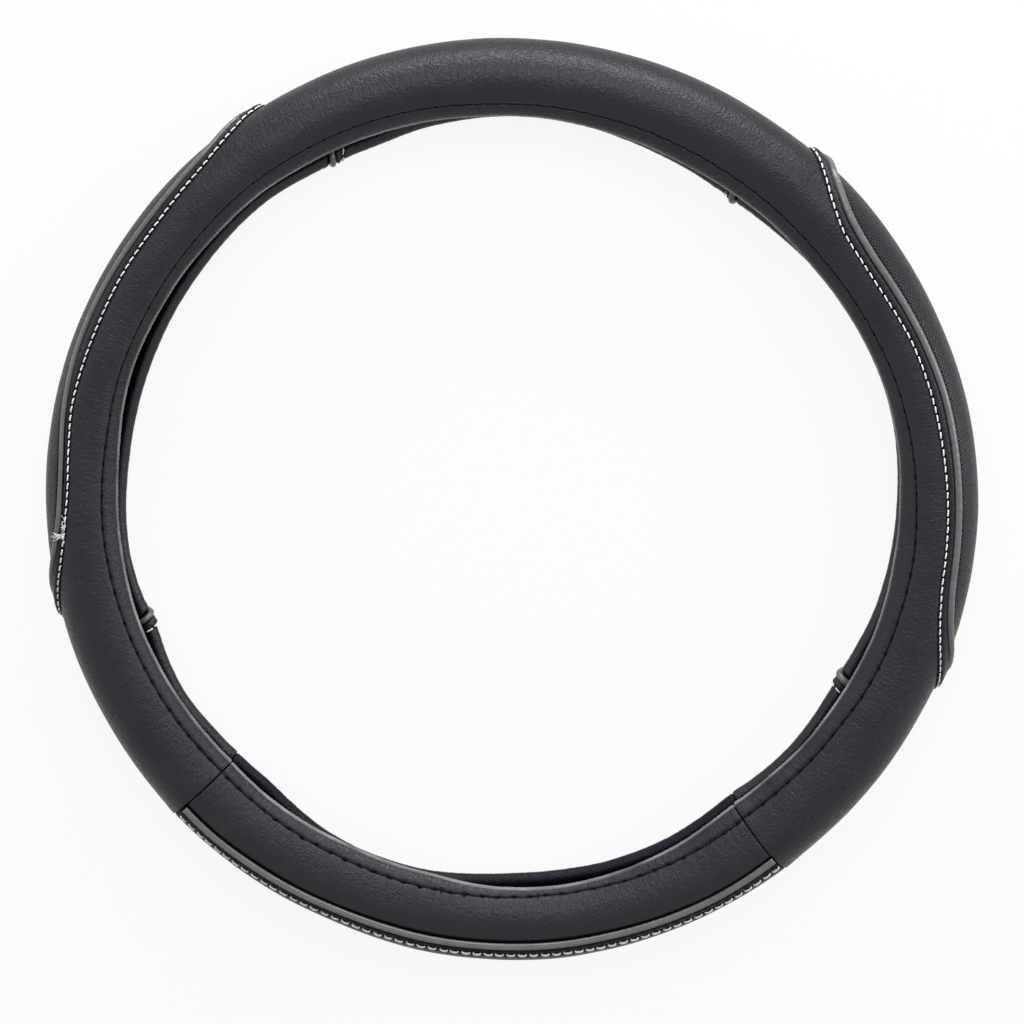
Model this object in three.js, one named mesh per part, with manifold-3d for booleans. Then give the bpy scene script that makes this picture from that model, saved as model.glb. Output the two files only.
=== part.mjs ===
import * as THREE from "three";
import { mergeVertices } from "three/addons/utils/BufferGeometryUtils.js";
import Module from "manifold-3d";

// A sewn cover for a car's steering wheel, lying on its back as it comes out of its box.
// Sizes are millimetres and degrees. +Z faces the driver, and +Y is 12 o'clock on the wheel.
//
// Two angles place everything on the ring:
//   turn    clockwise from 12 o'clock, as the driver sees it
//   around  round the tube, 0 at its outermost line, +90 at the front, -90 at the back

// Ring and tube
const ringRadius = 176; // the wheel's centre to the middle of its rim
const tubeRadius = 17; // the middle of the rim to the outside of the leather
const lipAngle = 146; // where the leather starts to turn in round each lip
const restFlatWidth = 6.6; // the soft tube presses flat where it lies

// Layers, from the outside in
const skinThickness = 1.6;
const linerThickness = 1.8;
const foldThickness = 1.2; // the leather thins where it is turned in
const clearance = 0.3; // between sewn layers

// Hem
const foldDepth = 27; // degrees that the turned-in leather reaches back from each lip
const hemStitchAngle = 125;
const threadWidth = 0.8;

// Seams
const pipingRadius = 1.5;
const edgeRise = 1.4; // the folded edge beside the piping stands proud
const edgeWidth = 8; // the folded edge fades out over this width
const edgeRoot = 1.2; // and grows out of the skin from this depth
const crossSeamTurn = 137.7; // plain seams at each side of the bottom panels
const crossSeamGap = 0.6;
const gripStitchOffset = 4.6; // piping to topstitch
const bottomStitchOffset = 6.6;
const gripStitchLength = 3.6;
const bottomStitchLength = 3.9;

// The grips' piping, from the back lip over the outside, along the front and back again
const gripSeamEnds = {
  upper: [[31.5, -lipAngle], [34.5, -80]],
  lower: [[109, -80], [112, -lipAngle]],
};
const rightGripSeam = [
  ...gripSeamEnds.upper, [38, 2], [41.8, 50], [49, 69], [68, 58.5],
  [87, 62.5], [96.5, 57], [101, 40], [105.2, -4], ...gripSeamEnds.lower,
];
const leftGripSeam = [
  ...gripSeamEnds.upper, [38, -2], [42.5, 30], [52, 42], [72, 53.5],
  [90, 64.5], [97, 57], [101, 40], [105.2, -4], ...gripSeamEnds.lower,
];
// The bottom piping, from cross seam to cross seam
const bottomSeam = [
  [crossSeamTurn, 69], [153, 64.5], [178, 66.5], [200, 56.5], [213, 56], [360 - crossSeamTurn, 66],
];

// Facets
const ringSegments = 42;
const gripSeamSteps = 45;
const bottomSeamSteps = 20;

// Worked out from the sizes above
const radians = THREE.MathUtils.degToRad;
const degrees = THREE.MathUtils.radToDeg;
const tubeHeight = Math.sqrt(tubeRadius ** 2 - (restFlatWidth / 2) ** 2);
const flatHalfAngle = degrees(Math.asin(restFlatWidth / 2 / tubeRadius));
const skinInside = tubeRadius - skinThickness;
const linerOutside = skinInside - clearance;
const linerInside = linerOutside - linerThickness;
const foldOutside = linerInside - clearance;
const foldInside = foldOutside - foldThickness;
const lipRadius = (tubeRadius - foldInside) / 2;
const lipCentre = foldInside + lipRadius;
const foldEdge = lipAngle - foldDepth;
const pipingHeight = linerOutside + clearance + pipingRadius - tubeRadius; // piping's middle above the leather

const wasm = await Module();
wasm.setup();

// Solids

// A closed geometry as a solid that can be joined and cut
function solidOf(geometry) {
  const bare = geometry.index ? geometry.toNonIndexed() : geometry.clone();
  bare.deleteAttribute("normal");
  bare.deleteAttribute("uv");
  const merged = mergeVertices(bare, 1e-4);
  return new wasm.Manifold(
    new wasm.Mesh({
      numProp: 3,
      vertProperties: new Float32Array(merged.attributes.position.array),
      triVerts: new Uint32Array(merged.index.array),
    }),
  );
}

function geometryOf(solid) {
  const mesh = solid.getMesh();
  const geometry = new THREE.BufferGeometry();
  geometry.setAttribute("position", new THREE.BufferAttribute(new Float32Array(mesh.vertProperties), 3));
  geometry.setIndex(new THREE.BufferAttribute(new Uint32Array(mesh.triVerts), 1));
  const flat = geometry.toNonIndexed();
  flat.computeVertexNormals();
  return flat;
}

// A solid turned about the wheel's axis from an outline of [from the middle of the tube, up]
function revolved(outline) {
  const closed = [...outline, outline[0]];
  const points = closed.map(([across, up]) => new THREE.Vector2(ringRadius + across, tubeHeight + up));
  const geometry = new THREE.LatheGeometry(points, ringSegments);
  geometry.rotateX(Math.PI / 2);
  return solidOf(geometry);
}

// Triangles that fill an outline and turn the same way as it does
function capOf(outline) {
  const triangles = THREE.ShapeUtils.triangulateShape(outline, []);
  return THREE.ShapeUtils.isClockWise(outline) ? triangles.map(([a, b, c]) => [c, b, a]) : triangles;
}

// A solid through sections that each have the same number of points; outline is what closes its end
function lofted(sections) {
  const count = sections[0].points.length;
  const last = sections.length - 1;
  const positions = sections.flatMap(({ points }) => points.flatMap((p) => [p.x, p.y, p.z]));
  const faces = [];
  for (let s = 0; s < last; s += 1) {
    for (let i = 0; i < count; i += 1) {
      const [a, b] = [s * count + i, s * count + ((i + 1) % count)];
      faces.push(a, b, b + count, a, b + count, a + count);
    }
  }
  for (const [a, b, c] of capOf(sections[0].outline)) faces.push(c, b, a);
  for (const triangle of capOf(sections[last].outline)) faces.push(...triangle.map((i) => last * count + i));
  const geometry = new THREE.BufferGeometry();
  geometry.setAttribute("position", new THREE.Float32BufferAttribute(positions, 3));
  geometry.setIndex(faces);
  const solid = solidOf(geometry);
  if (solid.volume() > 0) return solid;
  geometry.setIndex(faces.reverse());
  return solidOf(geometry);
}

// Places on the ring

const polar = (angle, radius) => [radius * Math.cos(radians(angle)), radius * Math.sin(radians(angle))];

function spread(from, to, count) {
  return Array.from({ length: count + 1 }, (_, i) => from + ((to - from) * i) / count);
}

// The tube's facets have one edge each side of the flat that it lies on
const tubeAngles = [
  ...spread(-lipAngle, -90 - flatHalfAngle, 2),
  ...spread(-90 + flatHalfAngle, lipAngle, 8),
];

// Nothing soft reaches below the surface that the cover lies on
function onRing(turn, across, up) {
  const reach = ringRadius + across;
  const height = Math.max(0, tubeHeight + up);
  return new THREE.Vector3(reach * Math.sin(radians(turn)), reach * Math.cos(radians(turn)), height);
}

// A point that stands rise above the leather, run mm along it from the outermost line,
// over the tube, round the lip and back along the turned-in fold
function onLeather(turn, run, rise) {
  const side = Math.sign(run) || 1;
  const tubeRun = tubeRadius * radians(lipAngle);
  const lipRun = lipRadius * Math.PI;
  const past = Math.abs(run) - tubeRun;
  let [across, up] = polar(degrees(Math.abs(run) / tubeRadius), tubeRadius + rise);
  if (past > lipRun) {
    [across, up] = polar(lipAngle - degrees((past - lipRun) / foldInside), foldInside - rise);
  } else if (past > 0) {
    const [centreAcross, centreUp] = polar(lipAngle, lipCentre);
    const [outAcross, outUp] = polar(lipAngle + degrees(past / lipRadius), lipRadius + rise);
    [across, up] = [centreAcross + outAcross, centreUp + outUp];
  }
  return onRing(turn, across, side * up);
}

// Outlines of the tube's layers

function lipOutline(side) {
  const [centreAcross, centreUp] = polar(lipAngle, lipCentre);
  const turned = spread(lipAngle + 60, lipAngle + 120, 1).map((angle) => {
    const [across, up] = polar(angle, lipRadius);
    return [centreAcross + across, centreUp + up];
  });
  const fold = [
    polar(lipAngle, foldInside),
    polar(foldEdge, foldInside),
    polar(foldEdge, foldOutside),
    polar(lipAngle, foldOutside),
  ];
  return [...turned, ...fold].map(([across, up]) => [across, side * up]);
}

function skinOutline() {
  const outside = tubeAngles.map((angle) => polar(angle, tubeRadius));
  const inside = tubeAngles.map((angle) => polar(angle, skinInside)).reverse();
  return [...outside, ...lipOutline(1), ...inside, ...lipOutline(-1).reverse()];
}

// The rubber stops short of the leather's turn at each lip
function linerOutline() {
  const stop = degrees(clearance / linerInside);
  const angles = tubeAngles.map((angle) => THREE.MathUtils.clamp(angle, stop - lipAngle, lipAngle - stop));
  const outside = angles.map((angle) => polar(angle, linerOutside));
  const inside = angles.map((angle) => polar(angle, linerInside)).reverse();
  return [...outside, ...inside];
}

// Seam lines

// Places along a seam, each with the direction across it on the leather, in millimetres
function seamLine(corners, steps, side = 1) {
  const curve = new THREE.SplineCurve(corners.map(([turn, around]) => new THREE.Vector2(turn, around)));
  const places = curve.getPoints(steps).map(({ x, y }) => ({ turn: side * x, around: y }));
  return places.map((place, i) => {
    const before = places[Math.max(i - 1, 0)];
    const after = places[Math.min(i + 1, places.length - 1)];
    const reach = ringRadius + tubeRadius * Math.cos(radians(place.around));
    const along = new THREE.Vector2(
      radians(after.turn - before.turn) * reach * side,
      radians(after.around - before.around) * tubeRadius,
    ).normalize();
    // Across points away from the panel behind the seam
    return { ...place, reach, acrossTurn: -along.y * side, acrossRun: along.x };
  });
}

function beside(place, offset) {
  return {
    turn: place.turn + degrees((place.acrossTurn * offset) / place.reach),
    run: radians(place.around) * tubeRadius + place.acrossRun * offset,
  };
}

// A strip of [offset across the seam, rise above the leather] points, swept along the seam
function sewnAlong(line, section) {
  const outline = section.map(([offset, rise]) => new THREE.Vector2(offset, rise));
  const sections = line.map((place) => ({
    outline,
    points: section.map(([offset, rise]) => {
      const { turn, run } = beside(place, offset);
      return onLeather(turn, run, rise);
    }),
  }));
  return lofted(sections);
}

// Everything behind a seam line, which cuts the skin into panels
function behind(line, offset) {
  const [near, far, backLimit] = [foldInside * 0.92, tubeRadius * 1.2, -172];
  const sections = line.map((place) => {
    const { turn, run } = beside(place, offset);
    const angles = spread(backLimit, degrees(run / tubeRadius), 8);
    const outside = angles.map((angle) => polar(angle, far));
    const inside = angles.map((angle) => polar(angle, near)).reverse();
    const corners = [...outside, ...inside];
    const [sine, cosine] = [Math.sin(radians(turn)), Math.cos(radians(turn))];
    return {
      outline: corners.map(([across, up]) => new THREE.Vector2(across, up)),
      points: corners.map(([across, up]) => {
        const reach = ringRadius + across;
        return new THREE.Vector3(reach * sine, reach * cosine, tubeHeight + up);
      }),
    };
  });
  return lofted(sections);
}

// The ring between two turns, as a wedge through its whole height
function sector(from, to) {
  const shape = new THREE.Shape();
  const reach = (ringRadius + tubeRadius) * 1.2;
  shape.moveTo(0, 0);
  for (const turn of spread(from, to, 12)) {
    shape.lineTo(reach * Math.sin(radians(turn)), reach * Math.cos(radians(turn)));
  }
  shape.closePath();
  const depth = tubeRadius * 3;
  const geometry = new THREE.ExtrudeGeometry(shape, { depth, bevelEnabled: false });
  geometry.translate(0, 0, -tubeRadius / 2);
  return solidOf(geometry);
}

// Trim

function disc(radius, rise, sides) {
  return spread(0, 360, sides).slice(1).map((angle) => {
    const [across, up] = polar(angle, radius);
    return [across, rise + up];
  });
}

// A folded edge beside the piping, on the panel that lies over the seam
function foldedEdge(line, side) {
  const start = pipingRadius + clearance;
  const section = [
    [start, -edgeRoot],
    [start + edgeWidth, -edgeRoot],
    [start + edgeWidth, 0],
    [start + edgeWidth / 2, edgeRise * 0.9],
    [start + edgeRise / 2, edgeRise],
    [start, edgeRise / 2],
  ];
  return sewnAlong(line, section.map(([offset, rise]) => [side * offset, rise]));
}

// Where a topstitch's thread runs: it stands up in the middle of each stitch, dips between
// stitches, and sinks into the leather where the cover lies on it
function stitchPath(line, offset, pitch) {
  const places = line.map((place) => beside(place, offset));
  const track = new THREE.SplineCurve(places.map(({ turn, run }) => new THREE.Vector2(turn, run)));
  const curve = new THREE.CatmullRomCurve3(places.map(({ turn, run }) => onLeather(turn, run, edgeRise)));
  const stitches = Math.round(curve.getLength() / pitch);
  return spread(0, 1, stitches * 2).map((part, i) => {
    const at = curve.getUtoTmapping(part);
    const { x: turn, y: run } = track.getPoint(at);
    const tangent = track.getTangent(at);
    const reach = ringRadius + tubeRadius * Math.cos(run / tubeRadius);
    const across = new THREE.Vector2(-tangent.y, radians(tangent.x) * reach).normalize();
    const lift = edgeRise + clearance + threadWidth / 2 + (i % 2) * threadWidth;
    const middle = onLeather(turn, run, lift);
    middle.z = Math.max(middle.z, threadWidth / 2);
    const beyond = onLeather(turn + degrees(across.x / reach), run + across.y, lift);
    beyond.z = Math.max(beyond.z, threadWidth / 2);
    const sideways = beyond.sub(middle).normalize();
    const out = middle.clone().sub(onRing(turn, 0, 0)).normalize();
    if (middle.z < threadWidth) out.set(0, 0, -1);
    const sunk = middle.z < threadWidth + 2 * clearance && run < 0;
    return { middle, sideways, out, sunk };
  });
}

function threadAlong(path, radius) {
  const section = disc(radius, 0, 3);
  const outline = section.map(([side, rise]) => new THREE.Vector2(side, rise));
  const sections = path.map(({ middle, sideways, out }) => ({
    outline,
    points: section.map(([side, rise]) => middle.clone().addScaledVector(sideways, side).addScaledVector(out, rise)),
  }));
  return lofted(sections);
}

// The grooves that the thread presses into the leather it lies on
function sunkBeds(path) {
  const firstFree = path.findIndex(({ sunk }, i) => !sunk && i > 0 && path[i - 1].sunk);
  const lastFree = path.findLastIndex(({ sunk }, i) => !sunk && i < path.length - 1 && path[i + 1].sunk);
  const radius = threadWidth / 2 + clearance;
  const firstSunk = path.findIndex(({ sunk }) => sunk);
  const lastSunk = path.findLastIndex(({ sunk }) => sunk);
  return [path.slice(firstSunk - 1, firstFree + 1), path.slice(lastFree, lastSunk + 2)].map((part) =>
    threadAlong(part, radius));
}

// A hem thread lies in a line all the way round the wheel
function hemRing(side, width, low, high) {
  const half = degrees(width / 2 / tubeRadius);
  const corners = [
    polar(hemStitchAngle - half, tubeRadius + low),
    polar(hemStitchAngle + half, tubeRadius + low),
    polar(hemStitchAngle + half, tubeRadius + high),
    polar(hemStitchAngle - half, tubeRadius + high),
  ];
  const outline = corners.map(([across, up]) => [across, side * up]);
  return revolved(side > 0 ? outline.reverse() : outline);
}

// The cover

const leather = new THREE.MeshStandardMaterial({ color: 0x2d2d31, roughness: 0.55, metalness: 0 });
const gripLeather = new THREE.MeshStandardMaterial({ color: 0x2a2a30, roughness: 0.7, metalness: 0 });
const rubber = new THREE.MeshStandardMaterial({ color: 0x141414, roughness: 0.9, metalness: 0 });
const pipingGrey = new THREE.MeshStandardMaterial({ color: 0x6b6866, roughness: 0.45, metalness: 0 });
const whiteThread = new THREE.MeshStandardMaterial({ color: 0xe6e6e6, roughness: 0.8, metalness: 0 });
const blackThread = new THREE.MeshStandardMaterial({ color: 0x101012, roughness: 0.8, metalness: 0 });

const cover = new THREE.Group();

function add(name, solid, material) {
  const mesh = new THREE.Mesh(geometryOf(solid), material);
  mesh.name = name;
  cover.add(mesh);
}

const skin = revolved(skinOutline());
const seamHalfGap = pipingRadius + clearance;
const rearHemBed = hemRing(-1, threadWidth + 2 * clearance, -clearance, threadWidth + 2 * clearance);

function gripSeam(corners, side) {
  const line = seamLine(corners, gripSeamSteps, side);
  return { line, stitch: stitchPath(line, gripStitchOffset, gripStitchLength) };
}

const grips = { left: gripSeam(leftGripSeam, -1), right: gripSeam(rightGripSeam, 1) };
const bottomLine = seamLine(bottomSeam, bottomSeamSteps);
const bottomStitch = stitchPath(bottomLine, -bottomStitchOffset, bottomStitchLength);

function addGrip(name, { line }) {
  add(`${name}_grip_panel`, skin.intersect(behind(line, -seamHalfGap)), gripLeather);
  add(`${name}_grip_piping`, sewnAlong(line, disc(pipingRadius, pipingHeight, 6)).subtract(rearHemBed), pipingGrey);
}

// The main panel runs over the top, from one cross seam to the other, round both grips
function mainPanel() {
  const halfGap = degrees(crossSeamGap / 2 / (ringRadius + tubeRadius));
  const edges = Object.values(grips).map(({ line }) => foldedEdge(line, 1));
  const openings = Object.values(grips).map(({ line }) => behind(line, seamHalfGap));
  let panel = skin.intersect(sector(halfGap - crossSeamTurn, crossSeamTurn - halfGap));
  for (const edge of edges) panel = panel.add(edge);
  for (const opening of openings) panel = panel.subtract(opening);
  for (const bed of Object.values(grips).flatMap(({ stitch }) => sunkBeds(stitch))) panel = panel.subtract(bed);
  return panel.subtract(rearHemBed);
}

function addBottom() {
  const halfGap = degrees(crossSeamGap / 2 / (ringRadius + tubeRadius));
  const bottom = sector(crossSeamTurn + halfGap, 360 - crossSeamTurn - halfGap);
  const section = skin.intersect(bottom);
  const edge = foldedEdge(bottomLine, -1).intersect(bottom);
  add("bottom_front_panel", section.subtract(behind(bottomLine, seamHalfGap)), leather);
  add("bottom_rear_panel", section.add(edge).intersect(behind(bottomLine, -seamHalfGap)), leather);
  add("bottom_piping", sewnAlong(bottomLine, disc(pipingRadius, pipingHeight, 6)).intersect(bottom), pipingGrey);
}

add("inner_ring", revolved(linerOutline()), rubber);
add("main_panel", mainPanel(), leather);
addGrip("left", grips.left);
addGrip("right", grips.right);
addBottom();
add("left_grip_topstitch", threadAlong(grips.left.stitch, threadWidth / 2), whiteThread);
add("right_grip_topstitch", threadAlong(grips.right.stitch, threadWidth / 2), whiteThread);
add("bottom_topstitch", threadAlong(bottomStitch, threadWidth / 2), whiteThread);
add("front_hem_stitch", hemRing(1, threadWidth, clearance, clearance + threadWidth), blackThread);
add("rear_hem_stitch", hemRing(-1, threadWidth, clearance, clearance + threadWidth), blackThread);

export default cover;
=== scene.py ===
# A sewn steering wheel cover, lying on its back on a pale floor and seen from above
import math
import random
import bpy
import numpy as np
from mathutils import Matrix, Vector, noise
from mathutils.geometry import delaunay_2d_cdt


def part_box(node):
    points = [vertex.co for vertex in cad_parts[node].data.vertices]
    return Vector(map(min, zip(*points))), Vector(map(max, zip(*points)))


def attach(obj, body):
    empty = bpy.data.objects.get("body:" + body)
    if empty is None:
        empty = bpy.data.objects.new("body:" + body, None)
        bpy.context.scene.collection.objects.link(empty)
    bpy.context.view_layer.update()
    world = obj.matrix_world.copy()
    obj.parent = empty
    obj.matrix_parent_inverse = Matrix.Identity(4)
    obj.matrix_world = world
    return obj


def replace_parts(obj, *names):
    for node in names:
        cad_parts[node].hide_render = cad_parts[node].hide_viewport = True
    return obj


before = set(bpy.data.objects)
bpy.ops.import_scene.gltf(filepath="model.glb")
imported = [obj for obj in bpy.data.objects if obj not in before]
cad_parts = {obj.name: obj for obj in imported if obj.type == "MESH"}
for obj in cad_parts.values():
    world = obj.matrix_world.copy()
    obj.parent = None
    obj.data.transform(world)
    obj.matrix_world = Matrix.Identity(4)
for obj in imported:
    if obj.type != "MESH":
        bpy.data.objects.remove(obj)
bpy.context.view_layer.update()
random.seed(7)
print("frame loaded")

# Places on the cover are flat, as on the cut leather, in metres: x is the turn clockwise from
# 12 o'clock times the ring's radius, y the run from the outermost line towards the front lip.
# Both are given in degrees below, round the ring and round the tube.

ring = {
    "radius": 0.176,
    "tube": 0.017,
    "lipAngle": math.radians(148),
    "foldInside": 0.0118,
    "foldDepth": math.radians(25),
    "middle": (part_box("front_hem_stitch")[1].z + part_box("rear_hem_stitch")[0].z) / 2,
    "crossSeam": 137.7,
}
lipRadius = (ring["tube"] - ring["foldInside"]) / 2
lipCentre = ring["foldInside"] + lipRadius
tubeRun = ring["tube"] * ring["lipAngle"]
lipRun = math.pi * lipRadius
panelRun = tubeRun + lipRun + ring["foldInside"] * ring["foldDepth"]

# How far each lip hangs in towards the wheel's centre, in millimetres, by turn in degrees
lipHang = {
    "front": [
        (0, -0.5), (9, 0.5), (15, 0.7), (22, 1.4), (29, 1.3), (36, 0.9), (47, 0.6), (53, -0.2),
        (60, -1.2), (66, -1.7), (72, -1.5), (78, -1.1), (83, -0.2), (92, 0.8), (101, 1.2), (105, 1.5),
        (109, 2.4), (118, 3.7), (122, 3.9), (126, 4.8), (131, 5.6), (137, 5.8), (142, 5.1), (148, 3.1),
        (155, 1.7), (161, 0.8), (167, 0), (174, 0.2), (178, 0.4), (182, 1.4), (187, 2.9), (192, 2.8),
        (201, 3.1), (206, 2.5), (215, 2.4), (223, 2.9), (230, 2.0), (248, 0), (258, -0.2), (267, -0.6),
        (272, -0.8), (277, -1.7), (281, -2.8), (286, -3.5), (294, -3.2), (310, -2.7), (318, -2.9),
        (325, -2.1), (334, -2.0), (340, -1.4), (346, -1.1), (351, -0.6),
    ],
    "rear": [
        (0, 0), (6, 0.6), (12, 2.0), (18, 3.0), (24, 3.6), (30, 4.3), (36, 3.7), (42, 2.4), (48, 0.6),
        (54, -1.0), (60, -1.3), (66, -1.8), (72, -1.7), (78, -1.0), (84, 0.1), (90, 0.9), (96, 1.8),
        (102, 2.9), (108, 5.0), (114, 6.0), (120, 5.6), (126, 5.2), (132, 5.8), (138, 6.9), (144, 5.2),
        (150, 3.6), (156, 3.0), (162, 2.4), (168, 2.5), (174, 2.1), (180, 0.9), (186, -0.8), (192, -1.4),
        (198, -1.6), (204, -0.9), (210, 1.3), (216, 3.5), (221, 2.9), (228, 1.9), (234, 0.4), (240, 1.2),
        (246, 2.9), (252, 0.3), (258, -0.7), (264, -0.3), (270, 0.5), (276, 0.9), (300, 0.9), (312, 0.4),
        (318, 0.5), (324, 1.9), (330, 2.6), (336, 2.9), (342, 1.5), (348, 0.8), (354, 0.3),
    ],
}
# Where the hem is stitched, round the tube
hemLine = {
    "front": [
        (0, 127), (20, 125), (40, 127), (60, 127), (70, 124), (80, 122), (91, 119), (100, 122),
        (110, 123), (116, 126), (122, 128), (144, 128), (149, 131), (155, 133), (162, 137), (168, 139),
        (175, 137), (182, 133), (187, 129), (200, 130), (215, 131), (223, 130), (240, 129), (250, 128),
        (260, 124), (270, 125), (280, 130), (289, 131), (298, 130), (313, 125), (325, 122), (335, 122),
        (345, 125), (355, 128),
    ],
    "rear": [(0, 126), (60, 127), (180, 129), (300, 127)],
}
# How far the outermost line is pushed out, in millimetres
outerPush = [
    (0, -0.8), (24, -0.9), (33, -0.8), (42, 0), (60, -0.2), (72, 0.4), (84, 0.4), (96, -0.3),
    (104, -0.7), (110, -1.5), (120, -1.8), (132, -2.2), (137, -1.9), (144, -1.4), (150, -0.9),
    (156, -0.4), (163, 0.2), (168, 0.8), (180, 0.9), (186, 1.0), (192, 0.35), (198, -0.15), (204, 0.2),
    (210, 0.4), (216, 0.5), (222, 0.6), (228, 0), (318, 0), (324, -0.5), (336, -0.5), (354, -0.5),
]
halfDegrees = np.arange(0, 360, 0.5)


def rounded(points, blur=2.0):
    # Listed values as a table for each half degree, with the corners rounded off
    turns, values = np.array(points, float).T
    table = np.interp(halfDegrees, turns, values, period=360)
    weights = np.exp(-(np.minimum(halfDegrees, 360 - halfDegrees) / blur) ** 2)
    return np.fft.ifft(np.fft.fft(table) * np.fft.fft(weights / weights.sum())).real


def eased(table, turn):
    return np.interp(np.degrees(turn) % 360, np.append(halfDegrees, 360), np.append(table, table[0]))


lipHang = {name: rounded(points) for name, points in lipHang.items()}
hemLine = {name: rounded(points, 3) for name, points in hemLine.items()}
outerPush = rounded(outerPush)


def smooth(value):
    value = np.clip(value, 0, 1)
    return value * value * (3 - 2 * value)


def place(turn, across, up, onFloor=True):
    # From the tube's own section to the frame; the lips hang in, and nothing sinks in the floor
    hang = np.where(up < 0, eased(lipHang["rear"], turn), eased(lipHang["front"], turn)) * 0.001
    push = eased(outerPush, turn) * 0.001 * smooth((across + 0.006) / 0.018)
    across = across - hang * smooth((-across - 0.003) / 0.010) + push
    height = ring["middle"] + up
    if onFloor:
        height = np.maximum(height, 0)
    reach = ring["radius"] + across
    return np.stack([reach * np.sin(turn), reach * np.cos(turn), height], -1)


def onLeather(flat, rise, onFloor=True):
    # A place on the leather, over the tube, round the lip and back along the turned-in fold
    turn = flat[..., 0] / ring["radius"]
    side = np.where(flat[..., 1] < 0, -1.0, 1.0)
    run = np.abs(flat[..., 1])
    past = run - tubeRun
    lip = (past > 0) & (past <= lipRun)
    fold = past > lipRun
    angle = np.where(fold, ring["lipAngle"] - (past - lipRun) / ring["foldInside"],
                     np.where(lip, ring["lipAngle"] + past / lipRadius, run / ring["tube"]))
    reach = np.where(fold, ring["foldInside"] - rise, np.where(lip, lipRadius, ring["tube"]) + rise)
    across = reach * np.cos(angle) + lip * lipCentre * math.cos(ring["lipAngle"])
    up = reach * np.sin(angle) + lip * lipCentre * math.sin(ring["lipAngle"])
    return place(turn, across, side * up, onFloor)


def flatOf(points):
    turns, arounds = np.radians(np.array(points, float)).T
    return np.stack([turns * ring["radius"], arounds * ring["tube"]], -1)


def lengthsOf(path):
    # The real length along a flat path up to each of its points
    solid = onLeather(path, np.zeros(len(path)), False)
    return np.concatenate([[0], np.cumsum(np.linalg.norm(np.diff(solid, axis=0), axis=1))])


def pathThrough(points, spacing, side):
    # An evenly spaced flat path on one smooth curve through the points
    corners = flatOf(points) * [side, 1]
    padded = np.vstack([2 * corners[0] - corners[1], corners, 2 * corners[-1] - corners[-2]])
    part = np.linspace(0, 1, 24, endpoint=False)[:, None]
    fine = []
    for a, b, c, d in zip(padded, padded[1:], padded[2:], padded[3:]):
        fine.append(0.5 * (2 * b + (c - a) * part + (2 * a - 5 * b + 4 * c - d) * part ** 2
                           + (3 * b - a - 3 * c + d) * part ** 3))
    fine = np.vstack(fine + [corners[-1:]])
    lengths = lengthsOf(fine)
    at = np.linspace(0, lengths[-1], max(2, round(lengths[-1] / spacing)) + 1)
    return alongPath(at, lengths, fine), at


def alongPath(at, lengths, values):
    # The values of a path's points, read at the given lengths
    return np.stack([np.interp(at, lengths, values[:, 0]), np.interp(at, lengths, values[:, 1])], -1)


def acrossOf(path):
    # The flat direction to the left of a path
    along = np.gradient(path, axis=0)
    along /= np.linalg.norm(along, axis=1)[:, None]
    return np.stack([-along[:, 1], along[:, 0]], -1)


def nearest(path, points):
    # Distance to a path, signed by side, the direction away from it, and how far along it
    start, step = path[:-1], np.diff(path, axis=0)
    size = (step ** 2).sum(1)
    distance, away, along = [], [], []
    for chunk in np.array_split(points, max(1, len(points) // 4000)):
        offset = chunk[:, None] - start
        part = np.clip((offset * step).sum(2) / size, 0, 1)
        gap = offset - part[..., None] * step
        squared = (gap ** 2).sum(2)
        k = squared.argmin(1)
        rows = np.arange(len(chunk))
        gap = gap[rows, k]
        length = np.sqrt(squared[rows, k])
        side = np.sign(step[k, 0] * gap[:, 1] - step[k, 1] * gap[:, 0])
        distance.append(length * side)
        away.append(gap / np.maximum(length, 1e-9)[:, None])
        along.append(k + part[rows, k])
    return np.concatenate(distance), np.concatenate(away), np.concatenate(along)


# Seams, as (turn, around) listed along each line

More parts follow.
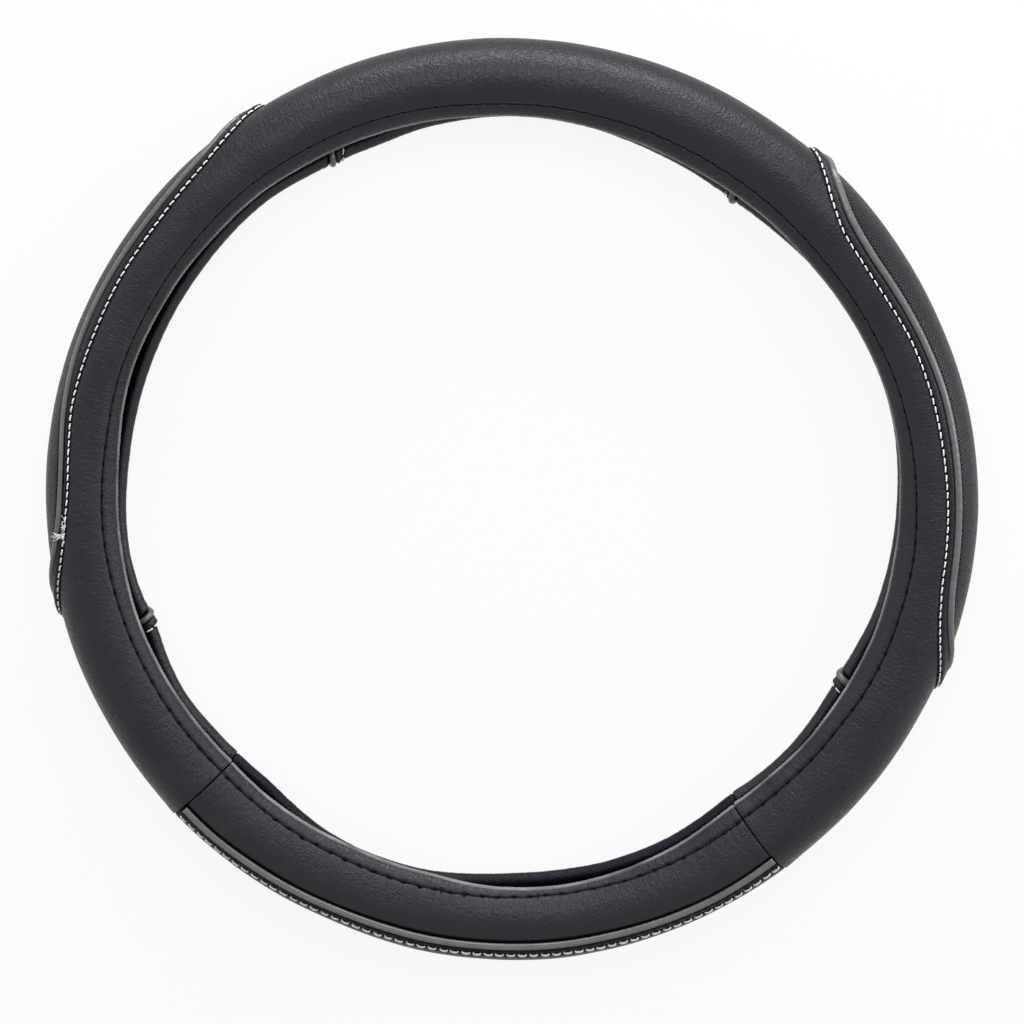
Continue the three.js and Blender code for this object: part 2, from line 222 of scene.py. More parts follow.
gripSeams = {
    "right": {
        "side": 1,
        "piping": [
            (29.6, -193), (30.5, -170), (31.6, -146), (34.4, -80), (36.2, -35), (37.6, 0), (39.2, 28.5),
            (41.8, 48.8), (44.8, 61.8), (49.3, 68.6), (54.3, 68), (61.1, 64.4), (68.7, 61.8), (73, 62),
            (78, 62.3), (83, 62.6), (88.7, 62), (93.9, 60), (96.9, 54.6), (99.2, 47), (101.2, 36),
            (103.4, 18), (105, 0), (106.6, -35), (108.8, -80), (111.8, -146), (112.9, -170),
            (113.8, -193),
        ],
        "stitch": [
            (28.4, -180), (30.4, -146), (33, -80), (34.5, -35), (35.3, 0), (36.9, 25.4), (38.5, 42.8),
            (41, 62.4), (44, 77), (46.6, 82.8), (50.8, 85.4), (55.5, 84), (61.7, 79.2), (68.7, 78.2),
            (76.3, 78.4), (83.7, 77.4), (90, 76.2), (94, 74.8), (96.4, 71.2), (98.8, 65.8),
            (102.3, 51.4), (104.8, 35.3), (106.6, 19), (107.9, 0), (109.1, -35), (111.4, -80),
            (113.8, -146), (115, -180),
        ],
    },
    "left": {
        "side": -1,
        "piping": [
            (30, -193), (30.9, -170), (31.9, -146), (34.6, -80), (36.6, -35), (38.3, -2), (40.4, 16),
            (43, 30.4), (46.2, 39.4), (51.3, 45.2), (56.7, 47.8), (63.2, 47.6), (69.7, 47.2), (75, 48.8),
            (80, 53), (83.6, 57), (87.4, 61.6), (91, 63.2), (94.7, 61.4), (97.3, 56.3), (100.3, 45),
            (103.5, 24), (106, 0), (107.5, -35), (109.3, -80), (111.8, -146), (112.9, -170),
            (113.8, -193),
        ],
        "stitch": [
            (28.4, -180), (30.4, -146), (33, -80), (34.8, -35), (36, 0), (37.8, 13.3), (39.4, 26.4),
            (41.7, 38), (44.3, 47.8), (47.4, 54.6), (51.4, 59), (56, 62.2), (62.7, 63.4), (69.7, 65.6),
            (76, 65.8), (81, 65.8), (85, 70.2), (89, 73.4), (92, 74.2), (94.6, 72), (97.3, 67.8),
            (99.5, 62), (101.6, 54.8), (103.8, 43.7), (106, 30.1), (108.2, 13), (109.8, -20),
            (111.4, -80), (113.8, -146), (115, -180),
        ],
    },
}
bottomSeam = {
    "side": 1,
    "piping": [
        (137.7, 62.4), (146, 61.4), (153, 63), (162, 65.6), (171, 66.4), (180, 66.8), (190, 66.6),
        (200, 64.6), (211, 62.6), (217, 60.8), (222.3, 61.6),
    ],
    "stitch": [
        (137.7, 41.6), (146, 38.8), (153, 40.2), (162, 43.4), (171, 46.8), (180, 48), (190, 46.4),
        (200, 45.4), (211, 42.4), (217, 41), (222.3, 39.4),
    ],
}
pipingSpacing, stitchSpacing = 0.0008, 0.0004
for seam in (*gripSeams.values(), bottomSeam):
    seam["path"], seam["lengths"] = pathThrough(seam["piping"], pipingSpacing, seam["side"])
    seam["stitchPath"], seam["stitchLengths"] = pathThrough(seam["stitch"], stitchSpacing, seam["side"])

# Leather

leather = {
    "thickness": 0.0010,
    "gripEdge": (0.0012, 0.0008),  # how high the folded edge stands, and its gain over the outside
    "bottomPucker": 0.00022,
    "bottomPuckerAt": (0.0014, 0.0008),
    "edgeRoll": 0.0009,
    "seamShade": {  # how far the painted shade in the crease beside the piping reaches, and where it ends
        "grip": (0.0018, 0.0029), "bottomRear": (0.0024, 0.0037), "bottomFront": (0.0019, 0.0032),
    },
    "edgeEnd": 0.0060,
    "pipingRadius": 0.0015,
    "pipingRise": (0.0006, 0.0005),
    "pipingSize": {  # turn, and the share of the radius there
        "left": [(78, 0.84), (84, 0.68), (91, 0.66), (97, 0.8)],
        "right": [(90, 1)],
        "bottom": [(180, 0.92)],
    },
    "pipingDent": 0.28,  # the line pressed along the bottom piping
    "pipingDentAt": (math.radians(52), 0.34),  # where round the strand, and how wide
    "pipingRipple": 0.02,
    "pipingEnd": math.radians(172),
    "pipingSides": 20,
    "foldCrease": (0.00028, 0.0036, 0.00045),  # depth, place and width, beside the roll
    "lumps": 0.00022,
    "wrinkles": 0.00012,
    "wrinklesFrom": (math.radians(92), math.radians(30)),
    "hemPitch": 0.0068,
    "hemPuff": 0.00035,
    "hemPull": 0.00050,
    "hemPullWidth": (0.00032, 0.0016),
    "hemHole": 0.0008,
    "hemHoleSize": (0.00042, 0.0010),
    "lipEdge": 0.00025,  # the leather's sharp turn along each lip
    "stitchPull": 0.00046,
    "stitchPullWidth": 0.0007,
    "stitchHole": 0.0009,
    "stitchHoleSize": 0.00045,
    "crossSwell": (0.0003, 0.004),  # how the leather stands up beside the cross seams
    "topPitch": 0.00355,
    "bottomPitch": 0.00477,
    "gridStep": 0.0027,
    "lipStep": 0.0021,
    "rowStep": 0.0011,
}


def hemPath(name):
    side = -1 if name == "rear" else 1
    turns = np.radians(np.arange(-ring["crossSeam"], 360 - ring["crossSeam"], 0.12))
    line = np.radians(eased(hemLine[name], turns)) * ring["tube"]
    pucker = np.array([
        noise.noise(Vector((t * 62, side, 4.2))) + 0.6 * noise.noise(Vector((t * 140, side, 1.7)))
        for t in turns])
    bottom = smooth((np.abs((turns % (2 * math.pi)) - math.pi) - math.radians(44)) / -0.1)
    line += pucker * (0.00008 + 0.00034 * bottom)
    path = np.stack([turns * ring["radius"], side * line], -1)
    return path, lengthsOf(path)


hems = {name: hemPath(name) for name in hemLine}


def outside(points):
    # One along the tube's outermost line, less to the front and the rear of it
    return np.exp(-(points[:, 1] / (ring["tube"] * math.radians(42))) ** 2)


def foldedEdge(gap, rise):
    # The leather rolls over at the seam: from the gap to the piping, how far off it lies and how high
    roll = leather["edgeRoll"]
    wall = leather["pipingRadius"] + 0.00012
    low, turned, top = 0.0006, 0.0012, 0.0030
    angle = np.clip((gap - turned) / (top - turned), 0, 1) * math.pi / 2
    reach = wall + roll * (1 - np.cos(angle))
    end = leather["edgeEnd"]
    beyond = np.clip((gap - top) / (end - top), 0, 1)
    reach = np.where(gap > top, wall + roll + (end - wall - roll) * beyond, reach)
    height = rise - roll + roll * np.sin(angle)
    under = np.clip((turned - gap) / (turned - low), 0, 1)
    height = height - under * (rise - roll + 0.0010)
    # A crease where the turned-in edge ends, beside the roll
    depth, at, width = leather["foldCrease"]
    height = np.where(gap > top, rise, height) - depth * np.exp(-((gap - at) / width) ** 2)
    return np.where(gap > end, gap, reach), height


def tuckedEdge(gap, deep):
    # The lower leather dives under the piping, and at the bottom it leaves a ditch beside it
    dive = -0.0013 * (1 - smooth((gap - 0.0007) / 0.0020))
    swell = 0.00012 * np.exp(-((gap - 0.0034) / 0.0012) ** 2)
    ditch = 0.0012 * deep * smooth((gap - 0.0008) / 0.0010) * (1 - smooth((gap - 0.0026) / 0.0020))
    return dive + swell - ditch


def rolledDown(gap):
    # A plain seam: the edge turns down into it
    return -0.0006 * np.exp(-(gap / 0.00026) ** 2) - 0.00012 * np.exp(-(gap / 0.0010) ** 2)


def holeDistance(points, path, lengths, pitch):
    # How far each point lies off a row of stitches, and along it from the nearest needle hole
    gap, _, at = nearest(path[::2], points)
    length = np.interp(at * 2, np.arange(len(lengths)), lengths)
    return gap, ((length / pitch + 0.5) % 1 - 0.5) * pitch


def shapeOf(points, raised, tucked, stitches):
    # Where each flat point of a panel ends up, how far it stands off the tube, and the painted shade in
    # its grooves and needle holes
    moved = points.copy()
    turn = points[:, 0] / ring["radius"]
    around = np.abs(points[:, 1]) / ring["tube"]
    solid = onLeather(points, np.zeros(len(points)), False)
    lumps = np.array([noise.noise(Vector(p) * 28) + 0.5 * noise.noise(Vector(p) * 75) for p in solid])
    rise = leather["lumps"] * lumps
    folds = np.array([noise.noise(Vector((x * 420, y * 60, 3.1))) for x, y in points])
    start, over = leather["wrinklesFrom"]
    rise += leather["wrinkles"] * folds * smooth((around - start) / over)
    shade = np.zeros(len(points))
    narrow, wide = leather["hemPullWidth"]
    across, along = leather["hemHoleSize"]
    for name, (path, lengths) in hems.items():
        same = (points[:, 1] < 0) == (name == "rear")
        gap, hole = holeDistance(points, path, lengths, leather["hemPitch"])
        line = eased(hemLine[name], turn) * math.pi / 180
        puff = np.sin(np.clip((around - line) / (ring["lipAngle"] + 0.25 - line), 0, 1) * math.pi)
        pull = np.exp(-(gap / narrow) ** 2) + 0.4 * np.exp(-(gap / wide) ** 2)
        # Painted shade along the hem's groove, darker round each needle hole
        dark = 0.55 * np.exp(-(gap / 0.00034) ** 2)
        dark += 0.45 * np.exp(-(gap / 0.0005) ** 2 - (hole / 0.0012) ** 2)
        shade = np.maximum(shade, same * dark)
        hole = leather["hemHole"] * np.exp(-(gap / across) ** 2 - (hole / along) ** 2)
        rise += same * (leather["hemPuff"] * puff - leather["hemPull"] * pull - hole)
    past = np.abs(points[:, 1]) - tubeRun
    rise += leather["lipEdge"] * np.exp(-((past - lipRadius * 0.50) / (lipRadius * 0.28)) ** 2)
    for path, side, stitch in raised:
        gap, away, _ = nearest(path, points)
        gap = gap * side
        stands, gain = leather["gripEdge"]
        reach, height = foldedEdge(gap, stands + gain * outside(points))
        near = gap < leather["edgeEnd"]
        moved = np.where(near[:, None], moved + away * (reach - gap)[:, None], moved)
        fromStitch, _, _ = nearest(stitch[::2], points)
        band = smooth((0.0006 - fromStitch * side) / 0.0017)
        rise = rise * smooth((gap - 0.001) / 0.004) + height * band * (gap < 0.014)
    for path, side in tucked:
        gap, _, _ = nearest(path, points)
        rise += tuckedEdge(gap * side, side < 0 and path is bottomSeam["path"])
    for path, lengths, pitch in stitches:
        gap, hole = holeDistance(points, path, lengths, pitch)
        if pitch == leather["bottomPitch"]:
            beads = np.cos(hole / pitch * 2 * math.pi)
            at, width = leather["bottomPuckerAt"]
            rise -= leather["bottomPucker"] * beads * np.exp(-((np.abs(gap) - at) / width) ** 2)
        groove = np.exp(-(gap / leather["stitchPullWidth"]) ** 2)
        rise -= leather["stitchPull"] * groove
        # Painted shade in the groove beside the stitches
        shade = np.maximum(shade, 0.75 * groove)
        size = leather["stitchHoleSize"]
        rise -= leather["stitchHole"] * np.exp(-(gap / size) ** 2 - (hole / size) ** 2)
    swell, width = leather["crossSwell"]
    for turnAt in (-ring["crossSeam"], ring["crossSeam"], 360 - ring["crossSeam"]):
        gap = points[:, 0] - math.radians(turnAt) * ring["radius"]
        rise += rolledDown(gap)
        upper = abs(turnAt) == ring["crossSeam"] and (gap < 0 if turnAt > 0 else gap > 0)
        rise += swell * upper * np.exp(-(np.abs(gap) / width) ** 2)
    return moved, rise, shade


def holeRows(path, lengths, pitch, alongSteps, acrossSteps):
    # Points on and round each needle hole of a row
    sideways = acrossOf(path)
    rows = []
    for k in range(int(lengths[-1] / pitch) + 1):
        for step in alongSteps:
            at = k * pitch + step
            spot, off = alongPath(at, lengths, path), alongPath(at, lengths, sideways)
            rows += [spot + off * across for across in acrossSteps]
    return np.array(rows)


def alongRows(path, offsets, step):
    # Points beside a path at the given distances from it
    every = max(1, round(step / np.linalg.norm(path[1] - path[0])))
    sideways = acrossOf(path)
    rows = []
    for k, offset in enumerate(offsets):
        start = (k % 2) * (every // 2)
        rows.append((path + sideways * offset)[start::every])
    return np.vstack(rows)


def lipRows(first, last, step):
    # Rows of points round each lip and along the fold, closer where it bends
    pasts = (-0.0018, -0.0008, -0.0001, 0.0005, 0.0010, 0.0015, 0.0020, 0.0026, 0.0034, 0.0044, 0.0056,
             0.0070, 0.0086)
    rows = []
    for side in (1, -1):
        for k, past in enumerate(pasts):
            xs = np.arange(first + (k % 2) * step / 2, last, step)
            rows.append(np.stack([xs, np.full_like(xs, side * (tubeRun + past))], -1))
    return np.vstack(rows)


def hexGrid(low, high, step):
    rows = []
    for k, y in enumerate(np.arange(low[1], high[1], step * 0.866)):
        xs = np.arange(low[0] + (k % 2) * step / 2, high[0], step)
        rows.append(np.stack([xs, np.full_like(xs, y)], -1))
    return np.vstack(rows)


def inside(outline, points):
    result = np.zeros(len(points), bool)
    x, y = points.T
    for (ax, ay), (bx, by) in zip(outline, np.roll(outline, -1, axis=0)):
        if ay == by:
            continue
        crosses = (ay > y) != (by > y)
        result ^= crosses & (x < (bx - ax) * (y - ay) / (by - ay) + ax)
    return result


def thinned(groups, cell=0.0025):
    # Keeps points in order of priority, each no nearer than its group's gap to those kept before
    kept, cells = [], {}
    for points, gap in groups:
        for x, y in points.tolist():
            i, j = int(x // cell), int(y // cell)
            crowded = False
            if gap:
                for di in (-1, 0, 1):
                    for dj in (-1, 0, 1):
                        for px, py in cells.get((i + di, j + dj), ()):
                            if (px - x) ** 2 + (py - y) ** 2 < gap * gap:
                                crowded = True
                                break
            if not crowded:
                kept.append((x, y))
                cells.setdefault((i, j), []).append((x, y))
    return kept


def makeObject(name, vertices, faces, material, uvs=None):
    mesh = bpy.data.meshes.new(name)
    mesh.from_pydata(vertices, [], faces)
    mesh.polygons.foreach_set("use_smooth", [True] * len(mesh.polygons))
    mesh.materials.append(material)
    if uvs is not None:
        layer = mesh.uv_layers.new(name="flat")
        index = np.zeros(len(mesh.loops), int)
        mesh.loops.foreach_get("vertex_index", index)
        layer.data.foreach_set("uv", np.asarray(uvs)[index].ravel())
    thing = bpy.data.objects.new(name, mesh)
    bpy.context.scene.collection.objects.link(thing)
    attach(thing, "root")
    return thing


def cutPanel(name, outline, rows, raised, tucked, stitches, material, shade=None):
    # A leather panel, meshed flat like the cut piece, then laid round the ring
    low, high = outline.min(0), outline.max(0)
    step = leather["gridStep"]
    groups = [(outline, 0)]
    lips = lipRows(low[0], high[0], leather["lipStep"])
    for points, gap in rows + [(lips, 0.0007), (hexGrid(low, high, step), step * 0.72)]:
        groups.append((points[inside(outline, points)], gap))
    kept = thinned(groups)
    border = [list(range(len(outline)))]
    flat, _, faces, *_ = delaunay_2d_cdt([Vector(p) for p in kept], [], border, 1, 1e-7)
    flat = np.array([tuple(p) for p in flat])
    moved, rise, creaseShade = shapeOf(flat, raised, tucked, stitches)
    solid = onLeather(moved, rise)
    faces = np.array(faces)
    a, b, c = (flat[faces[:, k]] for k in range(3))
    turned = np.cross(b - a, c - a) > 0
    faces[turned] = faces[turned][:, ::-1]
    thing = makeObject(name, solid.tolist(), faces.tolist(), material, flat)
    for path, _ in tucked:
        # Painted shade in the crease beside the piping, where it lies in shadow
        gap = np.abs(nearest(path, flat)[0])
        creaseShade = np.maximum(creaseShade, 1 - smooth((gap - shade[0]) / (shade[1] - shade[0])))
    layer = thing.data.attributes.new("seamShade", "FLOAT", "POINT")
    layer.data.foreach_set("value", creaseShade.astype(np.float32))
    thick = thing.modifiers.new("thickness", "SOLIDIFY")
    thick.thickness = leather["thickness"]
    thick.offset = -1
    print(name, len(flat), "points", len(faces), "triangles")
    return thing


def sweep(path, rise, radius, sides):
    # The rings of a round strand along a flat path
    centre = onLeather(path, rise)
    outward = onLeather(path, rise + 1e-4, False) - onLeather(path, rise - 1e-4, False)
    along = np.gradient(centre, axis=0)
    along /= np.maximum(np.linalg.norm(along, axis=1), 1e-12)[:, None]
    sideways = np.cross(along, outward)
    sideways /= np.linalg.norm(sideways, axis=1)[:, None]
    outward = np.cross(sideways, along)
    angles = np.arange(sides) * 2 * math.pi / sides
    rings = centre[:, None] + radius[:, None, None] * (
        np.cos(angles)[None, :, None] * sideways[:, None]
        + np.sin(angles)[None, :, None] * outward[:, None])
    rings[..., 2] = np.maximum(rings[..., 2], 0)
    return rings


def strandFaces(rings, start):
    count, sides = rings.shape[:2]
    faces = []
    for i in range(count - 1):
        for j in range(sides):
            a, b = start + i * sides + j, start + i * sides + (j + 1) % sides
            faces.append((a, b, b + sides, a + sides))
    faces.append(tuple(range(start + sides - 1, start - 1, -1)))
    faces.append(tuple(start + (count - 1) * sides + j for j in range(sides)))
    return faces


def makeStrands(name, strands, material):
    vertices, faces = [], []
    for rings in strands:
        faces += strandFaces(rings, len(vertices))
        vertices += rings.reshape(-1, 3).tolist()
    return makeObject(name, vertices, faces, material)


# Materials


def nodesOf(name):
    material = bpy.data.materials.new(name)
    material.use_nodes = True
    tree = material.node_tree
    tree.nodes.clear()
    output = tree.nodes.new("ShaderNodeOutputMaterial")
    shader = tree.nodes.new("ShaderNodeBsdfPrincipled")
    tree.links.new(shader.outputs[0], output.inputs[0])
    return material, tree, shader


def addNode(tree, kind, inputs=None, **settings):
    node = tree.nodes.new(kind)
    for key, value in settings.items():
        setattr(node, key, value)
    for key, value in (inputs or {}).items():
        if isinstance(value, bpy.types.NodeSocket):
            tree.links.new(value, node.inputs[key])
        else:
            node.inputs[key].default_value = value
    return node


def shades(tree, factor, dark, light, low=0.35, high=0.65):
    ramp = addNode(tree, "ShaderNodeValToRGB", {0: factor})
    ramp.color_ramp.elements[0].position = low
    ramp.color_ramp.elements[1].position = high
    ramp.color_ramp.elements[0].color = (*dark, 1)
    ramp.color_ramp.elements[1].color = (*light, 1)
    return ramp.outputs[0]


def levels(tree, factor, low, high, fromLow=0.3, fromHigh=0.7):
    node = addNode(tree, "ShaderNodeMapRange", {0: factor, 1: fromLow, 2: fromHigh, 3: low, 4: high})
    return node.outputs[0]


def grain(tree, where, scale, detail):
    inputs = {"Vector": where, "Scale": scale, "Detail": detail}
    return addNode(tree, "ShaderNodeTexNoise", inputs).outputs[0]


def combined(tree, operation, first, second=0.5):
    return addNode(tree, "ShaderNodeMath", {0: first, 1: second}, operation=operation).outputs[0]


def mixed(tree, share, first, colour):
    node = addNode(tree, "ShaderNodeMix", {0: share}, data_type="RGBA")
    tree.links.new(first, node.inputs[6])
    node.inputs[7].default_value = (*colour, 1)
    return node.outputs[2]


def bumped(tree, height, strength, distance, under=None):
    inputs = {"Height": height, "Strength": strength, "Distance": distance}
    if under:
        inputs["Normal"] = under
    return addNode(tree, "ShaderNodeBump", inputs).outputs[0]


leatherLook = {
    "dark": (0.0062, 0.0049, 0.0118),
    "light": (0.0092, 0.0077, 0.0156),
    "turnedInShade": (0.0030, 0.0030, 0.0034),  # painted shade on the fold inside the lips and in the creases
    "rim": (0.250, 0.246, 0.258),  # a painted highlight along each lip's edge
    "roughness": (0.30, 0.48),
    "pebbleSize": 0.0010,
    "pebbleDepth": 0.00018,
    "creaseApart": 0.00100,  # fine creases run across the tube
    "creaseLong": 0.0042,
    "creaseDepth": 0.00048,
    "mottleDepth": 0.00034,
    "specular": 0.31,
    "creaseSpecular": 0.04,
    "rimAt": 0.0007,  # past where the lip begins
    "rimWidth": (0.0005, 0.0012),
    "turnedInAt": (0.0056, 0.0084),
    "blotches": 60,
    "polish": 700,
    "mottle": 330,
}


def leatherMaterial(name, look, dimples=None):
    material, tree, shader = nodesOf(name)
    where = addNode(tree, "ShaderNodeTexCoord")
    solid, flat = where.outputs["Object"], where.outputs["UV"]
    blotches = grain(tree, solid, look["blotches"], 5)
    polish = grain(tree, solid, look["polish"], 3)
    mottle = grain(tree, solid, look["mottle"], 3)
    stretched = addNode(tree, "ShaderNodeMapping", {
        "Vector": flat, "Scale": (1 / look["creaseApart"], 1 / look["creaseLong"], 1)})
    creases = addNode(tree, "ShaderNodeTexNoise", {
        "Vector": stretched.outputs[0], "Scale": 1, "Detail": 3, "Roughness": 0.55,
        "Distortion": 0.9}).outputs[0]
    pebbles = addNode(tree, "ShaderNodeTexVoronoi", {
        "Vector": solid, "Scale": 1 / look["pebbleSize"], "Smoothness": 0.6}, feature="SMOOTH_F1")
    run = addNode(tree, "ShaderNodeSeparateXYZ", {0: flat}).outputs[1]
    run = combined(tree, "ABSOLUTE", run)
    patchy = levels(tree, blotches, 0.35, 1)
    deep = combined(tree, "MULTIPLY", creases, patchy)
    normal = bumped(tree, mottle, 0.6, look["mottleDepth"])
    normal = bumped(tree, deep, 0.9, look["creaseDepth"], normal)
    normal = bumped(tree, pebbles.outputs[0], 0.9, look["pebbleDepth"], normal)
    if dimples:
        turned = addNode(tree, "ShaderNodeMapping", {
            "Vector": flat, "Rotation": (0, 0, math.radians(dimples["angle"])),
            "Scale": (1 / dimples["pitch"],) * 3})
        holes = addNode(tree, "ShaderNodeTexVoronoi", {
            "Vector": turned.outputs[0], "Scale": 1, "Randomness": 0}, voronoi_dimensions="2D")
        dents = levels(tree, holes.outputs[0], 0, 1, dimples["low"], dimples["high"])
        # The stretched leather at the lips is smooth
        held = levels(tree, run, 1, 0, *(ring["tube"] * math.radians(a) for a in dimples["fade"]))
        dents = combined(tree, "MULTIPLY", dents, held)
        normal = bumped(tree, dents, 1, dimples["depth"], normal)
    colour = shades(tree, blotches, look["dark"], look["light"])
    # A painted highlight along the fold of each lip, patchy with the blotches
    off = combined(tree, "ABSOLUTE", combined(tree, "SUBTRACT", run, tubeRun + look["rimAt"]))
    highlightMask = levels(tree, off, 1, 0, *look["rimWidth"])
    highlightMask = combined(tree, "MULTIPLY", highlightMask, levels(tree, blotches, 0.25, 1))
    colour = mixed(tree, highlightMask, colour, look["rim"])
    # Painted shade: the fold inside the lips and the creases in seamShade are coloured dark and lose
    # their shine
    shadeMask = levels(tree, run, 0, 1, *(tubeRun + past for past in look["turnedInAt"]))
    creaseShade = addNode(tree, "ShaderNodeAttribute", attribute_name="seamShade").outputs["Fac"]
    shadeMask = combined(tree, "MAXIMUM", shadeMask, creaseShade)
    tree.links.new(mixed(tree, shadeMask, colour, look["turnedInShade"]), shader.inputs["Base Color"])
    shine = levels(tree, shadeMask, look["specular"], look["creaseSpecular"], 0, 1)
    tree.links.new(shine, shader.inputs["Specular IOR Level"])
    tree.links.new(levels(tree, polish, *look["roughness"]), shader.inputs["Roughness"])
    tree.links.new(normal, shader.inputs["Normal"])
    return material


def plainMaterial(name, look):
    material, tree, shader = nodesOf(name)
    solid = addNode(tree, "ShaderNodeTexCoord").outputs["Object"]
    tone = grain(tree, solid, look["blotches"], 4)
    fine = grain(tree, solid, look["grain"], 3)
    tree.links.new(shades(tree, tone, look["dark"], look["light"]), shader.inputs["Base Color"])
    tree.links.new(levels(tree, fine, *look["roughness"]), shader.inputs["Roughness"])
    tree.links.new(bumped(tree, fine, look["strength"], look["depth"]), shader.inputs["Normal"])
    shader.inputs["Specular IOR Level"].default_value = look["specular"]
    return material


gripLook = dict(leatherLook, creaseDepth=0.00016, mottleDepth=0.0003, pebbleDepth=0.0001, specular=0.36)
dimples = {"pitch": 0.0013, "angle": 45, "low": 0.08, "high": 0.42, "depth": 0.0009, "fade": (115, 138)}
smoothLeather = leatherMaterial("smooth_leather", leatherLook)
rearLeather = leatherMaterial("rear_leather", dict(leatherLook, specular=0.12))
gripLeather = leatherMaterial("grip_leather", gripLook, dimples)
pipingLook = {
    "dark": (0.104, 0.099, 0.099),
    "light": (0.128, 0.122, 0.122),
    "roughness": (0.20, 0.30),
    "blotches": 180,
    "grain": 2600,
    "strength": 0.4,
    "depth": 0.00006,
    "specular": 0.5,
}
rubberLook = dict(pipingLook, dark=(0.010, 0.010, 0.010), light=(0.016, 0.016, 0.016),
                  roughness=(0.6, 0.75), grain=1500, depth=0.00015)
whiteLook = dict(pipingLook, dark=(0.84, 0.84, 0.84), light=(0.94, 0.94, 0.94),
                 roughness=(0.6, 0.8), grain=5200, strength=0.6, depth=0.0001)
blackLook = dict(whiteLook, dark=(0.003, 0.003, 0.004), light=(0.006, 0.005, 0.008),
                 roughness=(0.5, 0.7), specular=0.08)
pipingLeather = plainMaterial("grey_piping", pipingLook)
rubber = plainMaterial("rubber", rubberLook)
whiteThread = plainMaterial("white_thread", whiteLook)
blackThread = plainMaterial("black_thread", blackLook)
print("materials made")

# Panels

raisedEdges = [(seam["path"], seam["side"], seam["stitchPath"]) for seam in gripSeams.values()]
edgeInset = 0.0006
# Rows of points beside the seams, round the needle holes and beside the hems
seamRows = [0.0010, 0.0014, 0.0018, 0.0023, 0.0028, 0.0034, 0.0041, 0.0050, 0.0060, 0.0072, 0.0086,
            0.0100]
dipRows = [-0.0022, -0.0015, -0.0009, 0.0, 0.0009, 0.0015, 0.0022]
dipAcross = [-0.0009, -0.00055, -0.00025, 0.0, 0.00025, 0.00055, 0.0009]
dipAlong = [-0.0008, -0.00045, -0.0002, 0.0, 0.0002, 0.00045, 0.0008]
hemRows = [-0.0022, -0.0013, -0.0007, -0.0004, -0.00018, 0.0, 0.00018, 0.0004, 0.0007, 0.0013, 0.0022]
hemAlong = [-0.0014, -0.0006, 0.0, 0.0006, 0.0014]
seamGap = 0.00008


def line(ax, ay, bx, by, step=0.0016):
    count = max(1, round(math.hypot(bx - ax, by - ay) / step))
    part = np.arange(count)[:, None] / count
    return np.array([[ax, ay]]) * (1 - part) + np.array([[bx, by]]) * part


def crossRows(turns):
    # Points beside the cross seams, where the leather turns down
    rows = []
    for turn in turns:
        for gap in (-0.0020, -0.0012, -0.0007, -0.0004, 0.0004, 0.0007, 0.0012, 0.0020):
            ys = np.arange(-panelRun, panelRun, 0.0013)
            rows.append(np.stack([np.full_like(ys, math.radians(turn) * ring["radius"] + gap), ys], -1))
    return [(np.vstack(rows), 0.00024)]


def hemRowPoints():
    rows = []
    for path, lengths in hems.values():
        rows.append((holeRows(path, lengths, leather["hemPitch"], hemAlong, hemRows), 0.00017))
        rows.append((alongRows(path, hemRows, 0.0012), 0.00017))
    return rows


def offsetPath(seam, offset):
    # The seam's path moved sideways, cut off where it would pass the end of the fold
    path = seam["path"] + acrossOf(seam["path"]) * offset
    return path[(path[:, 1] > -panelRun)]


def makeMainPanel():
    # Counter-clockwise from the left cross seam's rear end, with a notch for each grip
    edge = math.radians(ring["crossSeam"]) * ring["radius"] - seamGap
    right = offsetPath(gripSeams["right"], edgeInset)
    left = offsetPath(gripSeams["left"], -edgeInset)[::-1]
    stops = [left[0], left[-1], right[0], right[-1]]
    corners = [
        line(-edge, -panelRun, stops[0][0], -panelRun), left[::2],
        line(stops[1][0], -panelRun, stops[2][0], -panelRun), right[::2],
        line(stops[3][0], -panelRun, edge, -panelRun),
        line(edge, -panelRun, edge, panelRun), line(edge, panelRun, -edge, panelRun),
        line(-edge, panelRun, -edge, -panelRun),
    ]
    rows, stitches = [], []
    for seam in gripSeams.values():
        side = seam["side"]
        stitches.append((seam["stitchPath"], seam["stitchLengths"], leather["topPitch"]))
        rows.append((alongRows(seam["path"], [side * r for r in seamRows], leather["rowStep"]), 0.00034))
        stitch, lengths = seam["stitchPath"], seam["stitchLengths"]
        rows.append((holeRows(stitch, lengths, leather["topPitch"], dipAlong, dipAcross), 0.00018))
        rows.append((alongRows(seam["stitchPath"], dipRows, 0.0009), 0.00040))
    rows += crossRows((-ring["crossSeam"], ring["crossSeam"])) + hemRowPoints()
    panel = cutPanel("main_leather", np.vstack(corners), rows, raisedEdges, [], stitches, smoothLeather)
    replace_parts(panel, "main_panel")


def makeGripPanel(name):
    seam = gripSeams[name]
    side = seam["side"]
    path = offsetPath(seam, -side * edgeInset)
    outline = np.vstack([path[::2], line(path[-1][0], -panelRun, path[0][0], -panelRun)])
    rows = [(alongRows(seam["path"], [-side * r for r in seamRows], leather["rowStep"]), 0.00034)]
    rows += hemRowPoints()
    panel = cutPanel(f"{name}_grip_leather", outline, rows, [], [(seam["path"], -side)], [], gripLeather,
                     leather["seamShade"]["grip"])
    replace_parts(panel, f"{name}_grip_panel")


